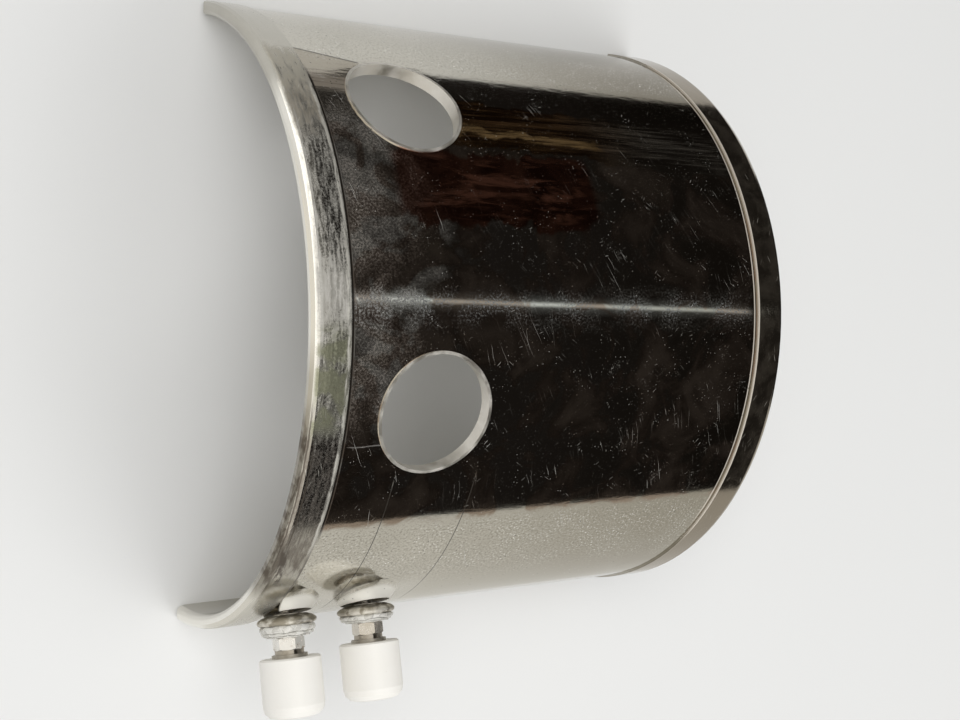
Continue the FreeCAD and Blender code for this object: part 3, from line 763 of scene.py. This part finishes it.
def glow(name, color, strength):
    finish = bpy.data.materials.new(name)
    finish.use_nodes = True
    tree = finish.node_tree
    tree.nodes.clear()
    light = tree.nodes.new("ShaderNodeEmission")
    light.inputs["Color"].default_value = color
    light.inputs["Strength"].default_value = strength
    out = tree.nodes.new("ShaderNodeOutputMaterial")
    tree.links.new(light.outputs[0], out.inputs[0])
    finish.cycles.emission_sampling = "NONE"
    return finish


def seen_in_gloss(piece, finish):
    piece.data.materials.append(finish)
    piece.visible_camera = False
    piece.visible_diffuse = False
    piece.visible_transmission = False
    piece.visible_volume_scatter = False
    piece.visible_shadow = False


def card(name, finish, width, depth, center, turn):
    rest()
    bpy.ops.mesh.primitive_plane_add(size=1, location=center,
                                     rotation=[math.radians(a) for a in turn])
    piece = bpy.context.object
    piece.name = name
    piece.scale = (width, depth, 1)
    bpy.ops.object.transform_apply(location=True, rotation=True, scale=True)
    seen_in_gloss(piece, finish)
    return piece


def hood_glow():
    """Dark towards the far end of the heater, light behind the camera's side of it."""
    finish = glow("hood", tone(1, 1, 1), 2.0)
    tree = finish.node_tree
    light = tree.nodes["Emission"]
    start = Wire(tree, None)
    place = start.node("TexCoord", None, None, "Object")
    way = place.node("VectorMath", {"operation": "NORMALIZE"}, {0: place})
    east = way.part(0)
    shade = east.node("ValToRGB", {"stops": (
        (0.0, tone(0.42, 0.40, 0.36)), (1.0, tone(0.006, 0.005, 0.0044)),
        (0.30, tone(0.46, 0.44, 0.40)), (0.39, tone(0.80, 0.79, 0.76)),
        (0.55, tone(0.80, 0.79, 0.76)), (0.62, tone(0.025, 0.0225, 0.02)),
        (0.68, tone(0.0065, 0.0055, 0.005)))}, {0: east * 0.5 + 0.5})
    tree.links.new(shade.socket, light.inputs["Color"])
    return finish


STRIP_TURN = 7.1
STRIP_POINT = (384, 124)


def strip_glow():
    """A lamp tube seen through haze: a bright core in a faint skirt."""
    finish = glow("strip", tone(1, 1, 1), 1.0)
    tree = finish.node_tree
    light = tree.nodes["Emission"]
    place = Wire(tree, None).node("TexCoord", None, None, "Object")
    place = place.node("VectorMath", {"operation": "SCALE"}, {0: place, "Scale": 1000})
    turn = math.radians(STRIP_TURN)
    x, y = STRIP_POINT
    off = (place.part(0) - x) * math.sin(turn) + (place.part(1) - y) * math.cos(turn)
    off = off.math("ABSOLUTE", off)
    level = off.above(13, 0) * 0.90 + off.above(48, 4) * 0.08
    near_end = place.part(0).above(270, 165).tint(tone(0.90, 0.97, 1.0), tone(1.7, 1.8, 1.85))
    shade = level.tint(tone(0.011, 0.009, 0.008), near_end)
    tree.links.new(shade.socket, light.inputs["Color"])
    return finish


dark = glow("dark_flag", tone(0.011, 0.009, 0.008), 1.0)
pale = glow("pale_card", tone(1.0, 0.98, 0.92), 0.70)
rest()
bpy.ops.mesh.primitive_uv_sphere_add(segments=48, ring_count=24, radius=2.5, location=(0, 0, 0))
hood = bpy.context.object
hood.name = "dark_hood"
seen_in_gloss(hood, hood_glow())
for side, (low, high) in {"front": (-2.2, -0.35), "back": (0.165, 2.2)}.items():
    card("dark_floor_" + side, dark, 2.22, high - low,
         (1.09, (low + high) / 2, floor_level + 0.0003), (0, 0, 0))
card("low_wall", pale, 3.0, 0.16, (0.3, -0.35, 0.085), (90, 0, 0))
card("near_floor", pale, 1.6, 0.25, (0.2, -0.222, floor_level + 0.0004), (0, 0, 0))
card("strip", strip_glow(), 0.423, 0.10, (0.340, 0.1295, 0.582), (0, 0, -STRIP_TURN))


def softbox(name, center, size, watts, aim=(0, 0, 0.04)):
    rest()
    bpy.ops.object.light_add(type="AREA", location=center)
    lamp = bpy.context.object
    lamp.name = name
    lamp.data.shape = "SQUARE"
    lamp.data.size = size
    lamp.data.energy = watts
    lamp.rotation_euler = (Vector(aim) - Vector(center)).to_track_quat("-Z", "Y").to_euler()
    lamp.visible_glossy = False
    return lamp


softbox("key_light", (-0.5, 0.3, 1.1), 0.9, 9.0)
softbox("fill_light", (0.5, -0.6, 0.9), 1.0, 6.0)
softbox("low_light", (-0.3, -0.9, 0.5), 0.6, 1.2)

world = bpy.context.scene.world or bpy.data.worlds.new("studio")
bpy.context.scene.world = world
world.use_nodes = True
sky = world.node_tree
backdrop = sky.nodes["Background"]
path = sky.nodes.new("ShaderNodeLightPath")
seen = Wire(sky, path.outputs["Is Camera Ray"])
seen = seen.either(Wire(sky, path.outputs["Is Glossy Ray"]))
seen = seen.either(Wire(sky, path.outputs["Is Transmission Ray"]))
backdrop.inputs["Color"].default_value = tone(0.93, 0.93, 0.92)
level = seen * 0.7 + 0.3
sky.links.new(level.socket, backdrop.inputs["Strength"])


# Camera
# Stands where the photograph was taken from: above the left end, looking across the crest,
# with the lens that a fit of the outline gave.
bpy.ops.object.camera_add(location=(-0.19947, 0.04841, 0.34740),
                          rotation=(-0.1962, -0.5642, 0.0886))
camera = bpy.context.object
camera.data.sensor_width = 36
camera.data.lens = 50.44
camera.data.clip_start = 0.01
bpy.context.scene.camera = camera
bpy.context.scene.view_settings.view_transform = "Standard"
